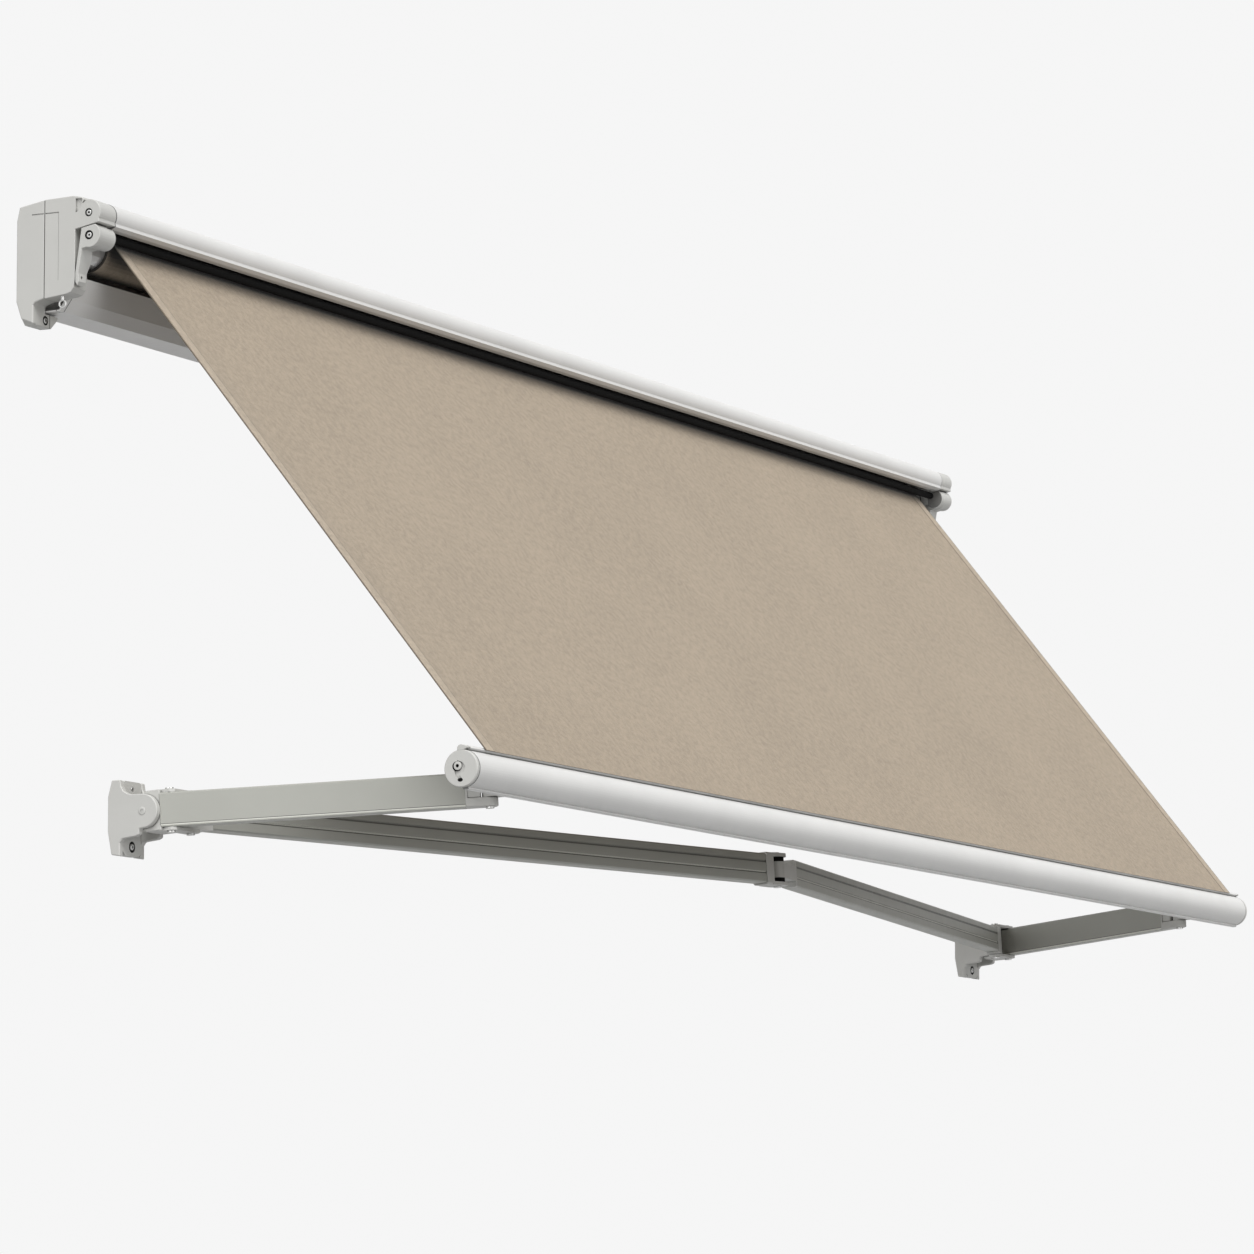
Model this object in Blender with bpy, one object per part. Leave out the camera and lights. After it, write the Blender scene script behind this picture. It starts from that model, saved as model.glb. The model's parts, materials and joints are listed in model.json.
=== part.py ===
"""Drop-arm canvas awning: a cassette on the wall, two braced arms below it and a taut canvas.

World frame, in metres: +Z up, +X along the awning to the right, the wall behind at +Y.
The origin is in the middle of the awning, on the wall plane that carries the cassette.
Sections are given as (y, z) points, with y counted negative towards the street.
"""

import math

import bmesh
import bpy
from mathutils import Matrix, Vector

# Driving dimensions, the whole awning
cassette_width = 4.000
arm_spacing = 3.928
drop_height = 1.0705
parapet_setout = 0.216
rest_tilt = math.radians(3.7)
seat = 0.0003

# Driving dimensions, the cassette and its roller
bracket_thickness = 0.045
split_depth = 0.0615
cover_depth = 0.1285
foot_depth = 0.0375
foot_width = 0.0895
rail_length = 3.880
rail_radius = 0.0252
rail_wall = 0.0025
rail_y, rail_z = -0.1585, 0.0637
lever_y, lever_z = -0.1596, 0.0206
lever_radius = 0.0235
guide_tube_radius = 0.008
guide_y, guide_z = -0.152, 0.028
roller_y, roller_z = -0.085, 0.017
roller_radius = 0.039
roller_wall = 0.0015
roll_radius = 0.045
housing_wall = 0.003
axle_radius = 0.008
axle_length = 0.018
eye_inset = 0.0105
eye_y = -0.0965
eye_radius = 0.007
eye_wire = 0.002

# Driving dimensions, the canvas and the front bar
canvas_width = 3.764
canvas_thickness = 0.0008
bar_length = 3.875
bar_radius = 0.0345
bar_wall = 0.003
bar_offset = 0.056
bar_above = 0.0145
cap_thickness = 0.010

# Driving dimensions, the wall brackets of the arms and their shoulders
bracket_width = 0.090
bracket_reach = 0.074
bracket_plate = 0.026
bracket_top = 0.0595
bracket_bottom = 0.079
nose_radius = 0.0316
cheek_thickness = 0.013
tilt_pin_radius = 0.006
lug_plate = 0.006
arm_pin_ahead = 0.040
arm_outset = 0.010
brace_pin_inset = 0.060
brace_pin_ahead = 0.040
pin_radius = 0.005
pin_head = 0.003

# Driving dimensions, the arms and the brace
arm_height = 0.064
arm_width = 0.034
arm_wall = 0.003
tip_inset = 0.231
tip_ahead = 0.579
brace_height_left = 0.062
brace_height_right = 0.058
brace_width = 0.034
elbow_ahead = 0.351
lug_radius = 0.016
elbow_radius = 0.022
tongue_height = 0.034


def clear_scene():
    for item in list(bpy.data.objects):
        bpy.data.objects.remove(item, do_unlink=True)


def material(name, colour, roughness, metallic):
    mat = bpy.data.materials.new(name)
    mat.use_nodes = True
    shader = mat.node_tree.nodes["Principled BSDF"]
    shader.inputs["Base Color"].default_value = (*colour, 1.0)
    shader.inputs["Roughness"].default_value = roughness
    shader.inputs["Metallic"].default_value = metallic
    mat.diffuse_color = (*colour, 1.0)
    return mat


def finish(name, bm, mat, parent=None, smooth=True):
    """Turn a bmesh into a named object with its faces pointing out."""
    bmesh.ops.recalc_face_normals(bm, faces=bm.faces)
    mesh = bpy.data.meshes.new(name)
    bm.to_mesh(mesh)
    bm.free()
    obj = bpy.data.objects.new(name, mesh)
    bpy.context.scene.collection.objects.link(obj)
    if mat is not None:
        mesh.materials.append(mat)
    if smooth:
        mesh.shade_smooth()
        mesh.set_sharp_from_angle(angle=math.radians(30))
    if parent is not None:
        obj.parent = parent
    return obj


def tool(obj):
    """Mark an object as a cutter or an addition that is not a piece itself."""
    obj.hide_render = True
    obj.display_type = "WIRE"
    return obj


def combine(obj, other, operation):
    step = obj.modifiers.new(operation.title() + " " + other.name, "BOOLEAN")
    step.operation = operation
    step.solver = "EXACT"
    step.object = tool(other)
    return obj


def cut(obj, *others):
    for other in others:
        combine(obj, other, "DIFFERENCE")
    return obj


def join(obj, *others):
    for other in others:
        combine(obj, other, "UNION")
    return obj


def prism(name, outline, start, end, axis, mat, parent=None, holes=(), centre=(0.0, 0.0, 0.0)):
    """Extrude an outline from start to end along an axis.

    Along X the outline is (y, z), along Y it is (x, z), along Z it is (x, y).
    An outline with a hole is closed by a bridge of quads between equal rings.
    """
    def place(pair, along):
        first, second = pair
        if axis == "X":
            spot = (along, first, second)
        elif axis == "Y":
            spot = (first, along, second)
        else:
            spot = (first, second, along)
        return Vector(spot) + Vector(centre)

    bm = bmesh.new()
    if not holes:
        near = [bm.verts.new(place(pair, start)) for pair in outline]
        far = [bm.verts.new(place(pair, end)) for pair in outline]
        bm.faces.new(near)
        bm.faces.new(far)
        for i in range(len(outline)):
            j = (i + 1) % len(outline)
            bm.faces.new((near[i], near[j], far[j], far[i]))
    else:
        rings = []
        for ring in (outline, holes[0]):
            rings.append([[bm.verts.new(place(pair, along)) for pair in ring] for along in (start, end)])
        for i in range(len(outline)):
            j = (i + 1) % len(outline)
            for ring in rings:
                bm.faces.new((ring[0][i], ring[0][j], ring[1][j], ring[1][i]))
            for side in (0, 1):
                outer, inner = rings[0][side], rings[1][side]
                bm.faces.new((outer[i], outer[j], inner[j], inner[i]))
    return finish(name, bm, mat, parent)


def box(name, low, high, mat=None, parent=None, centre=(0.0, 0.0, 0.0)):
    outline = [(low[0], low[1]), (high[0], low[1]), (high[0], high[1]), (low[0], high[1])]
    return prism(name, outline, low[2], high[2], "Z", mat, parent, centre=centre)


def circle(radius, centre=(0.0, 0.0), steps=24, start=0.0, sweep=2 * math.pi):
    closed = abs(sweep - 2 * math.pi) < 1e-9
    count = steps if closed else steps + 1
    return [
        (
            centre[0] + radius * math.cos(start + sweep * i / steps),
            centre[1] + radius * math.sin(start + sweep * i / steps),
        )
        for i in range(count)
    ]


def drum(name, radius, start, end, axis, mat=None, parent=None, centre=(0.0, 0.0, 0.0), steps=24):
    """A plain cylinder along an axis through centre."""
    return prism(name, circle(radius, steps=steps), start, end, axis, mat, parent, centre=centre)


def offset_line(points, distance):
    """The open polyline moved sideways by a distance, mitred at its corners."""
    moved = []
    for i, point in enumerate(points):
        normals = []
        for a, b in ((i - 1, i), (i, i + 1)):
            if a < 0 or b >= len(points):
                continue
            run = Vector(points[b]) - Vector(points[a])
            run.normalize()
            normals.append(Vector((-run.y, run.x)))
        normal = sum(normals, Vector((0.0, 0.0)))
        normal.normalize()
        stretch = distance / normal.dot(normals[0])
        moved.append((point[0] + normal.x * stretch, point[1] + normal.y * stretch))
    return moved


def sheet_section(points, wall):
    """A closed section of even wall along an open polyline."""
    return list(points) + list(reversed(offset_line(points, wall)))


def soften(obj, width, segments=2):
    """Round the sharp edges of a piece."""
    step = obj.modifiers.new("Soften", "BEVEL")
    step.width = width
    step.segments = segments
    step.limit_method = "ANGLE"
    step.angle_limit = math.radians(40)
    return obj


def shifted(points, across, up):
    return [(first + across, second + up) for first, second in points]


def mirrored(side, low, high):
    """The X range low to high, measured outwards from the middle, on one side."""
    return tuple(sorted((side * low, side * high)))


clear_scene()

# Materials
casting = material("powder_coated_casting", (0.60, 0.60, 0.57), 0.45, 0.0)
rail_finish = material("powder_coated_rail", (0.67, 0.67, 0.65), 0.40, 0.0)
arm_finish = material("powder_coated_arm", (0.50, 0.51, 0.48), 0.45, 0.0)
canvas_cloth = material("beige_canvas", (0.44, 0.38, 0.29), 0.90, 0.0)
steel = material("bright_steel", (0.60, 0.60, 0.60), 0.30, 1.0)
dark_steel = material("dark_steel", (0.05, 0.05, 0.05), 0.50, 0.0)

half_width = cassette_width / 2
half_rail = rail_length / 2
inner_face = half_width - bracket_thickness
sides = (("left", -1), ("right", 1))


# Cassette: the end brackets, each a wall plate with a foot below and a cover in front
plate_outline = [
    (0.0, 0.060),
    (-0.006, 0.086),
    (-split_depth, 0.0956),
    (-split_depth, -0.0925),
    (-foot_depth - 0.003, -0.099),
    (-foot_depth, -0.103),
    (-foot_depth, -0.1385),
    (-0.011, -0.128),
    (0.0, -0.095),
]
foot_height = 0.1395
under_housing = 0.1135
foot_outline = [
    (half_width - 0.002, -0.104),
    (half_width - 0.002, -foot_height + 0.010),
    (half_width - 0.012, -foot_height),
    (half_width - foot_width + 0.024, -foot_height),
    (half_width - foot_width, -under_housing - 0.006),
    (half_width - foot_width, -under_housing),
    (inner_face + 0.002, -under_housing),
    (inner_face + 0.002, -0.104),
]
neck_z = 0.034
lobe_low = (rail_y - 0.0227, rail_z - 0.0197)
cover_outline = [
    (-split_depth - seat, 0.0956),
    (-cover_depth + 0.005, 0.098),
    (-cover_depth - 0.0145, 0.0945),
    (-cover_depth - 0.0175, 0.0915),
    (-cover_depth - 0.0180, 0.0890),
    (-cover_depth - 0.0150, 0.0815),
    *circle(rail_radius, (rail_y, rail_z), 16, math.radians(78), math.radians(132)),
    lobe_low,
    (-cover_depth, neck_z),
    (-cover_depth, -0.062),
    (-cover_depth + 0.003, -0.077),
    (-cover_depth + 0.009, -0.085),
    (-cover_depth + 0.018, -0.088),
    (-split_depth - seat, -0.0935),
]
barrel_step = 0.0005
barrel_outline = [
    *circle(rail_radius - barrel_step, (rail_y, rail_z), 16, math.radians(66), math.radians(144)),
    (lobe_low[0] + barrel_step, lobe_low[1] + barrel_step),
    (rail_y + 0.009, rail_z - 0.0240),
    (rail_y + 0.009, rail_z + 0.0180),
]
pocket_outline = [
    (-cover_depth - 0.001, 0.0925),
    (-cover_depth - 0.001, 0.0655),
    (-cover_depth - 0.0075, 0.0690),
    (-cover_depth - 0.0135, 0.0785),
    (-cover_depth - 0.0155, 0.0915),
]
groove_depth = 0.0015
groove_width = 0.0022
groove_z = 0.0690
groove_back, groove_front = -0.034, -0.093
panel_low = -0.060
screw_recess = 0.0065

for label, side in sides:
    span = mirrored(side, inner_face, half_width)
    plate = soften(prism(f"{label}_wall_plate", plate_outline, *span, "X", casting), 0.0022)
    foot = [(side * across, up) for across, up in foot_outline]
    join(plate, soften(prism(f"{label}_foot", foot, -foot_depth, -0.012, "Y", None), 0.0015))
    spot = (side * (half_width - foot_width / 2), 0.0, (-foot_height - under_housing) / 2)
    cut(plate, drum(f"{label}_foot_recess", screw_recess, -foot_depth - 0.002, -foot_depth + 0.003, "Y", centre=spot))

    cover = soften(prism(f"{label}_end_cover", cover_outline, *span, "X", casting), 0.0010, 1)
    pocket = mirrored(side, half_width - 0.004, half_width + 0.002)
    cut(cover, prism(f"{label}_horn_pocket", pocket_outline, *pocket, "X", None))
    span = mirrored(side, half_rail + seat, inner_face + 0.004)
    join(cover, prism(f"{label}_rail_barrel", barrel_outline, *span, "X", None))
    bore = mirrored(side, inner_face - 0.002, inner_face + axle_length)
    cut(cover, drum(f"{label}_axle_bore", axle_radius + seat, *bore, "X", centre=(0.0, roller_y, roller_z)))
    recess = mirrored(side, half_width - 0.003, half_width + 0.002)
    cut(cover, drum(f"{label}_lobe_recess", screw_recess, *recess, "X", centre=(0.0, rail_y, rail_z)))
    recess = mirrored(side, half_width - groove_depth, half_width + 0.002)
    low, high = groove_z - groove_width / 2, groove_z + groove_width / 2
    for piece, back, front in ((plate, groove_back, -split_depth + 0.002), (cover, -split_depth - 0.002, groove_front)):
        line = [(back, low), (front, low), (front, high), (back, high)]
        cut(piece, prism(f"{piece.name}_groove", line, *recess, "X", None))
    recess = mirrored(side, half_width - groove_depth / 3, half_width + 0.002)
    line = [(groove_front, panel_low), (groove_front + 0.001, panel_low), (groove_front + 0.001, low), (groove_front, low)]
    cut(cover, prism(f"{label}_panel_line", line, *recess, "X", None))

# The levers under the lobes: a flat topped head, and an arm that tapers down towards the cover
slope = (lobe_low[1] - neck_z) / (-lobe_low[0] - cover_depth)
lever_gap = 0.0015
lever_top = [(y, neck_z + slope * (-y - cover_depth) - lever_gap) for y in (lever_y - 0.0125, -cover_depth - 0.014)]
head_outline = [
    lever_top[1],
    lever_top[0],
    *circle(lever_radius, (lever_y, lever_z), 14, math.radians(128), math.radians(157)),
    (-cover_depth - 0.0150, lever_z - 0.0245),
]
cylinder_outline = [
    (lever_y + 0.0145, lever_z + 0.0120),
    *circle(lever_radius - 0.0008, (lever_y, lever_z), 12, math.radians(130), math.radians(152)),
    (lever_y + 0.0145, lever_z - 0.0160),
]
lever_outline = head_outline + [
    (-cover_depth - 0.0078, -0.050),
    (-cover_depth - 0.0092, -0.066),
    (-cover_depth - 0.0055, -0.0735),
    (-cover_depth - 0.0015, -0.067),
    (-cover_depth - 0.0008, -0.050),
]
taper_outline = [
    (half_width - 0.046, -0.010),
    (half_width - 0.018, -0.080),
    (half_width - 0.060, -0.080),
]
for label, side in sides:
    span = mirrored(side, half_width - 0.040, half_width)
    lever = soften(prism(f"{label}_guide_lever", lever_outline, *span, "X", casting), 0.0008, 1)
    taper = [(side * across, up) for across, up in taper_outline]
    cut(lever, prism(f"{label}_lever_taper", taper, -cover_depth - 0.040, -cover_depth + 0.002, "Y", None))
    spot = (side * (half_width - 0.012), 0.0, -0.058)
    cut(lever, drum(f"{label}_lever_hole", 0.0035, -cover_depth - 0.030, -cover_depth, "Y", centre=spot, steps=16))
    span = mirrored(side, inner_face, inner_face + 0.018)
    tongue_outline = [
        (-cover_depth - seat, lever_z - 0.012),
        (-cover_depth - seat, lever_z + 0.008),
        (-cover_depth - 0.021, lever_z + 0.007),
        (-cover_depth - 0.021, lever_z - 0.011),
    ]
    join(lever, prism(f"{label}_lever_tongue", tongue_outline, *span, "X", None))
    span = mirrored(side, half_rail + seat, half_width - 0.036)
    join(lever, prism(f"{label}_lever_head", cylinder_outline, *span, "X", None))
    recess = mirrored(side, half_width - 0.003, half_width + 0.002)
    cut(lever, drum(f"{label}_lever_recess", screw_recess, *recess, "X", centre=(0.0, lever_y, lever_z)))

# The front rail, a half round profile with a double lip along its lower edge
rail_line = circle(rail_radius, (rail_y, rail_z), 18, math.radians(70), math.radians(142)) + [
    lobe_low,
    (lobe_low[0] + 0.009, lobe_low[1] - 0.0045),
    (lobe_low[0] + 0.020, lobe_low[1] - 0.0060),
]
prism("top_rail", sheet_section(rail_line, rail_wall), -half_rail, half_rail, "X", rail_finish)

# The rear housing, a trough under the roll that turns up behind it and over it
housing_line = [
    (-0.100, -0.045),
    (-0.085, -0.088),
    (-0.069, -0.110),
    (-0.004, -0.112),
    (0.0, -0.107),
    (0.0, 0.070),
    (-0.008, 0.084),
    (-0.060, 0.094),
    (rail_y + 0.012, rail_z + rail_radius - 0.0025),
]
housing_section = sheet_section(housing_line, housing_wall)
prism("rear_housing", housing_section, -inner_face + seat, inner_face - seat, "X", rail_finish)

# The guide tube between the levers, and the roller with its end plugs
prism(
    "guide_tube", circle(guide_tube_radius, (guide_y, guide_z), 16), -half_rail + seat, half_rail - seat, "X", dark_steel
)
half_roller = inner_face - 0.012
roller_centre = (roller_y, roller_z)
prism(
    "roller_tube", circle(roller_radius, roller_centre), -half_roller, half_roller, "X", steel,
    holes=(circle(roller_radius - roller_wall, roller_centre),),
)
half_canvas = canvas_width / 2
prism(
    "canvas_roll", circle(roll_radius, roller_centre, 36), -half_canvas, half_canvas, "X", canvas_cloth,
    holes=(circle(roller_radius + seat, roller_centre, 36),),
)
for label, side in sides:
    flange = mirrored(side, half_roller + seat, half_roller + 0.006)
    plug = drum(f"{label}_roller_plug", roller_radius, *flange, "X", dark_steel, centre=(0.0, *roller_centre))
    spigot = mirrored(side, half_roller - 0.040, half_roller + 0.003)
    inner = roller_radius - roller_wall - seat
    axle = mirrored(side, half_roller, inner_face + axle_length - 0.002)
    join(
        plug,
        drum(f"{label}_plug_spigot", inner, *spigot, "X", centre=(0.0, *roller_centre)),
        drum(f"{label}_plug_axle", axle_radius, *axle, "X", centre=(0.0, *roller_centre)),
    )

# The crank eye, a ring on a stem that turns in the foot of the left end cover
eye_x = -half_width + eye_inset
eye_top = -0.072
eye_stem_bottom = -0.097
stem_radius = 0.0035
stem_bore = drum(
    "eye_bore", stem_radius + seat, eye_top + seat - 0.030, eye_top + seat, "Z", centre=(eye_x, eye_y, 0.0), steps=20
)
cut(bpy.data.objects["left_end_cover"], stem_bore)
eye = drum("crank_eye", stem_radius, eye_stem_bottom, eye_top, "Z", steel, centre=(eye_x, eye_y, 0.0), steps=20)
bm = bmesh.new()
ring_z = eye_stem_bottom - eye_radius
profile = [
    bm.verts.new((0.0, eye_radius + eye_wire * math.cos(turn), eye_wire * math.sin(turn)))
    for turn in (2 * math.pi * i / 8 for i in range(8))
]
loop = [bm.edges.new((profile[i], profile[(i + 1) % 8])) for i in range(8)]
bmesh.ops.spin(
    bm, geom=profile + loop, cent=(0.0, 0.0, 0.0), axis=(0.0, 0.0, 1.0), angle=2 * math.pi, steps=20, use_merge=True
)
bmesh.ops.remove_doubles(bm, verts=bm.verts, dist=0.00001)
bmesh.ops.rotate(bm, verts=bm.verts, cent=(0.0, 0.0, 0.0), matrix=Matrix.Rotation(math.pi / 2, 3, "Y"))
bmesh.ops.translate(bm, verts=bm.verts, vec=(eye_x, eye_y, ring_z))
join(eye, finish("eye_ring", bm, None))


# The arm frame tilts about the X axis through both wall brackets
tilt_y = -parapet_setout - bracket_reach
pivot = bpy.data.objects.new("arm_frame_pivot", None)
bpy.context.scene.collection.objects.link(pivot)
pivot.location = (0.0, tilt_y, -drop_height)
pivot.rotation_euler = (-rest_tilt, 0.0, 0.0)
half_arms = arm_spacing / 2

# The wall brackets: a thick plate between two cheeks, each cheek with a round nose at the axis
half_plate = bracket_width / 2
cheek_inner = half_plate - cheek_thickness
plate_front = bracket_reach - bracket_plate
end_taper = 0.008
ledge = -0.0455
cheek_outline = [
    (bracket_reach - end_taper, bracket_top),
    (bracket_reach, bracket_top - 0.030),
    (bracket_reach, -bracket_bottom + 0.044),
    (bracket_reach - end_taper, -bracket_bottom),
    (plate_front, -bracket_bottom - 0.003),
    (plate_front, -bracket_bottom + 0.022),
    (plate_front - 0.005, -bracket_bottom + 0.029),
    (0.015, ledge - 0.001),
    (0.0075, ledge + 0.002),
    (0.0065, -nose_radius - 0.001),
    *circle(nose_radius, (0.0, 0.0), 18, math.radians(-90), math.radians(-180)),
    (0.022, nose_radius),
    (0.032, nose_radius + 0.002),
    (plate_front - 0.007, nose_radius + 0.007),
    (plate_front - 0.002, nose_radius + 0.016),
    (plate_front, bracket_top),
]
centre_outline = [
    (-cheek_inner - 0.002, -bracket_bottom + 0.008),
    (-cheek_inner + 0.008, -bracket_bottom),
    (cheek_inner - 0.008, -bracket_bottom),
    (cheek_inner + 0.002, -bracket_bottom + 0.008),
    (cheek_inner + 0.002, bracket_top - 0.006),
    (cheek_inner - 0.006, bracket_top),
    (-cheek_inner + 0.006, bracket_top),
    (-cheek_inner - 0.002, bracket_top - 0.006),
]
pad_low, pad_high = -bracket_bottom + 0.046, bracket_top - 0.032
ear_screw_z = 0.046
foot_screw_z = -0.062
for label, side in sides:
    middle = side * half_arms
    centre = (middle, tilt_y, -drop_height)
    bracket = prism(
        f"{label}_arm_bracket", centre_outline, plate_front, bracket_reach - end_taper, "Y", casting, centre=centre
    )
    for name, low, high in (("outer", -half_plate, -cheek_inner), ("inner", cheek_inner, half_plate)):
        cheek = prism(f"{label}_{name}_cheek", cheek_outline, low, high, "X", None, centre=centre)
        join(bracket, soften(cheek, 0.0015, 1))
    pad = mirrored(1, -cheek_inner - 0.001, cheek_inner + 0.001)
    pad_corners = (pad[0], plate_front + 0.010, pad_low), (pad[1], bracket_reach, pad_high)
    join(bracket, box(f"{label}_back_pad", *pad_corners, centre=centre))
    for name, height, radius in (("ear", ear_screw_z, 0.0045), ("foot", foot_screw_z, 0.0085)):
        spot = (middle, tilt_y, -drop_height + height)
        hole = drum(f"{label}_{name}_hole", radius, plate_front - 0.002, plate_front + 0.004, "Y", centre=spot, steps=16)
        cut(bracket, hole)
    cut(bracket, drum(f"{label}_cheek_bore", tilt_pin_radius + seat, -0.050, 0.050, "X", centre=centre, steps=20))
    drum(
        f"{label}_tilt_pin", tilt_pin_radius, -half_plate, half_plate, "X", steel, centre=centre, steps=20
    )


# The shoulders: a block between the cheeks that turns on the pin, with two lug plates in front
half_arm = arm_height / 2
lug_low = half_arm + seat
lug_high = lug_low + lug_plate
shoulder_front = nose_radius - 0.001
hub_half = cheek_inner - seat
hub_radius = 0.028
shoulder_outline = [
    *circle(hub_radius, (0.0, 0.0), 12, math.radians(-60), math.radians(130)),
    (0.0, lug_high - 0.002),
    (-0.004, lug_high),
    (-shoulder_front, lug_high),
    (-shoulder_front, -lug_high),
    (0.002, -lug_high),
    (0.008, -lug_high + 0.005),
]
for label, side in sides:
    middle = side * half_arms
    centre = (middle, 0.0, 0.0)
    shoulder = prism(f"{label}_shoulder", shoulder_outline, -hub_half, hub_half, "X", casting, pivot, centre=centre)
    soften(shoulder, 0.0015, 1)
    inward = -side
    arm_side = -(arm_width / 2 + arm_outset - 0.003) * inward
    brace_side = (brace_pin_inset + 0.016) * inward
    near_x, far_x = sorted((arm_side, brace_side))
    lug_front = -arm_pin_ahead - 0.015
    for name, low, high in (("top", lug_low, lug_high), ("bottom", -lug_high, -lug_low)):
        plate = [
            (near_x, -shoulder_front + 0.004),
            (near_x, lug_front + 0.008),
            (near_x + 0.008, lug_front),
            (far_x - 0.008, lug_front),
            (far_x, lug_front + 0.008),
            (far_x, -shoulder_front + 0.004),
        ]
        join(shoulder, prism(f"{label}_{name}_lug", plate, low, high, "Z", None, pivot, centre=centre))
    bore = drum(f"{label}_hub_bore", tilt_pin_radius + seat, -0.05, 0.05, "X", None, pivot, centre, 20)
    cut(shoulder, bore)
    for name, spot in (
        ("arm", (middle - inward * arm_outset, -arm_pin_ahead, 0.0)),
        ("brace", (middle + inward * brace_pin_inset, -brace_pin_ahead, 0.0)),
    ):
        bore = drum(f"{label}_{name}_pin_bore", pin_radius + seat, -0.06, 0.06, "Z", None, pivot, spot, 16)
        cut(shoulder, bore)
        reach = lug_high + seat
        pin = drum(f"{label}_{name}_pin", pin_radius, -reach - 0.001, reach + 0.001, "Z", steel, pivot, spot, 16)
        for end, low, high in (("top", reach, reach + pin_head), ("bottom", -reach - pin_head, -reach)):
            join(pin, drum(f"{label}_{name}_{end}_head", pin_radius + 0.003, low, high, "Z", None, pivot, spot, 16))


def rectangle(width, height, corner):
    """A rectangle with small chamfered corners, as (across, up) points, counter-clockwise."""
    a, b, c = width / 2, height / 2, corner
    return [(-a + c, -b), (a - c, -b), (a, -b + c), (a, b - c), (a - c, b), (-a + c, b), (-a, b - c), (-a, -b + c)]


def grooved(width, height, corner, depth=0.0018, groove=0.005):
    """A rectangle with two grooves along each long side, at 28 and 65 hundredths of its height."""
    a, b, c = width / 2, height / 2, corner
    right = [(a, -b + c)]
    for share in (0.35, 0.72):
        level = -b + height * share
        right += [(a, level - groove / 2), (a - depth, level - groove / 2), (a - depth, level + groove / 2),
                  (a, level + groove / 2)]
    right += [(a, b - c)]
    left = [(-x, y) for x, y in reversed(right)]
    return [(-a + c, -b), (a - c, -b)] + right + [(a - c, b), (-a + c, b)] + left


def strut(name, tail, head, section, mat, tail_plane, head_plane, hole=None):
    """A profile along the line from tail to head, each end cut by a vertical plane.

    A plane is a point and a level normal, both as (x, y).
    """
    tail, head = Vector(tail), Vector(head)
    run = (head - tail).normalized()
    across = Vector((run.y, -run.x))

    def spot(pair, plane):
        base = tail + across * pair[0]
        point, normal = Vector(plane[0]), Vector(plane[1])
        along = (point - base).dot(normal) / run.dot(normal)
        level = base + run * along
        return (level.x, level.y, pair[1])

    bm = bmesh.new()
    rings = []
    for ring in (section, hole or []):
        rings.append([[bm.verts.new(spot(pair, plane)) for pair in ring] for plane in (tail_plane, head_plane)])
    outer, inner = rings
    for ring in (outer, inner):
        count = len(ring[0])
        for i in range(count):
            j = (i + 1) % count
            bm.faces.new((ring[0][i], ring[0][j], ring[1][j], ring[1][i]))
    for end in (0, 1):
        if not hole:
            bm.faces.new(outer[end])
            continue
        count = len(outer[end])
        for i in range(count):
            j = (i + 1) % count
            bm.faces.new((outer[end][i], outer[end][j], inner[end][j], inner[end][i]))
    return finish(name, bm, mat, pivot)


def along(tail, head, distance):
    tail, head = Vector(tail), Vector(head)
    return tail + (head - tail).normalized() * distance


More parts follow.
